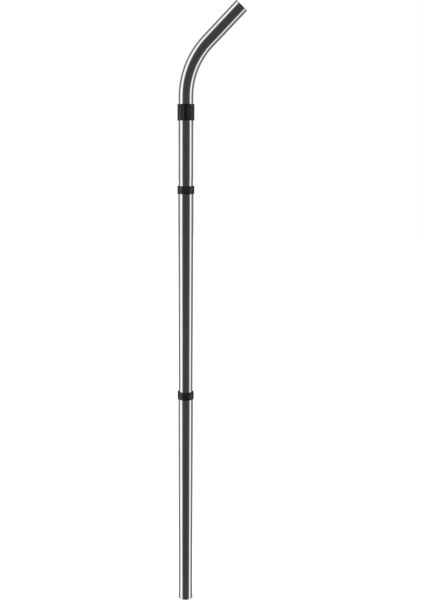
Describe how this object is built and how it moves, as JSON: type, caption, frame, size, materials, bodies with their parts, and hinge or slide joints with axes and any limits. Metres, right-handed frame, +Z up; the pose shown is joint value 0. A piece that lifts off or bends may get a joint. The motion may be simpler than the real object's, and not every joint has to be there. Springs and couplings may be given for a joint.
{
  "type": "window cleaning pole",
  "caption": "Push-fit tube pole with tapered bright steel sections, black joint rings, a twist-lock coupler and a swivelling bent neck.",
  "frame": {"origin": "centre of the lower tube's lower end, on the pole's axis", "axes": "+Z up the pole's axis, +X towards the side that the gooseneck leans to, +Y by the right-hand rule"},
  "size_m": [0.179, 0.0444, 1.6351],
  "materials": {
    "tube_metal": "bright polished plate with fine lengthwise polishing lines",
    "ring_plastic": "glossy moulded black",
    "grip_plastic": "glossy moulded black with flutes",
    "seal_rubber": "matt black",
    "collet_nylon": "natural nylon, satin"
  },
  "bodies": {
    "lower_section": {"lower_tube": "tube_metal", "joint_ring_lower": "ring_plastic", "seal_retainer_lower": "ring_plastic"},
    "lower_seal": {"seal_lower": "seal_rubber"},
    "middle_section": {"middle_tube": "tube_metal", "joint_ring_upper": "ring_plastic", "seal_retainer_upper": "ring_plastic"},
    "upper_seal": {"seal_upper": "seal_rubber"},
    "stem": {"stem_tube": "tube_metal", "collet": "collet_nylon", "thrust_washer": "collet_nylon", "journal_o_ring": "seal_rubber"},
    "lock_collar": {"lock_sleeve": "grip_plastic", "cam_ring": "collet_nylon", "lock_cap": "ring_plastic"},
    "gooseneck": {"gooseneck_tube": "tube_metal"}
  },
  "joints": [
    {"name": "middle_twist", "type": "hinge", "parent": "lower_section", "child": "lower_seal", "pos_m": [0, 0, 0.603], "axis": [0, 0, 1], "continuous": true},
    {"name": "middle_pull", "type": "slide", "parent": "lower_seal", "child": "middle_section", "axis": [0, 0, 1], "range_m": [0, 0.06]},
    {"name": "stem_twist", "type": "hinge", "parent": "middle_section", "child": "upper_seal", "pos_m": [0, 0, 1.163], "axis": [0, 0, 1], "continuous": true},
    {"name": "stem_pull", "type": "slide", "parent": "upper_seal", "child": "stem", "axis": [0, 0, 1], "range_m": [0, 0.06]},
    {"name": "lock_twist", "type": "hinge", "parent": "stem", "child": "lock_collar", "pos_m": [0, 0, 1.358], "axis": [0, 0, 1], "range_deg": [0, 60]},
    {"name": "gooseneck_swivel", "type": "hinge", "parent": "stem", "child": "gooseneck", "pos_m": [0, 0, 1.36], "axis": [0, 0, 1], "continuous": true}
  ]
}
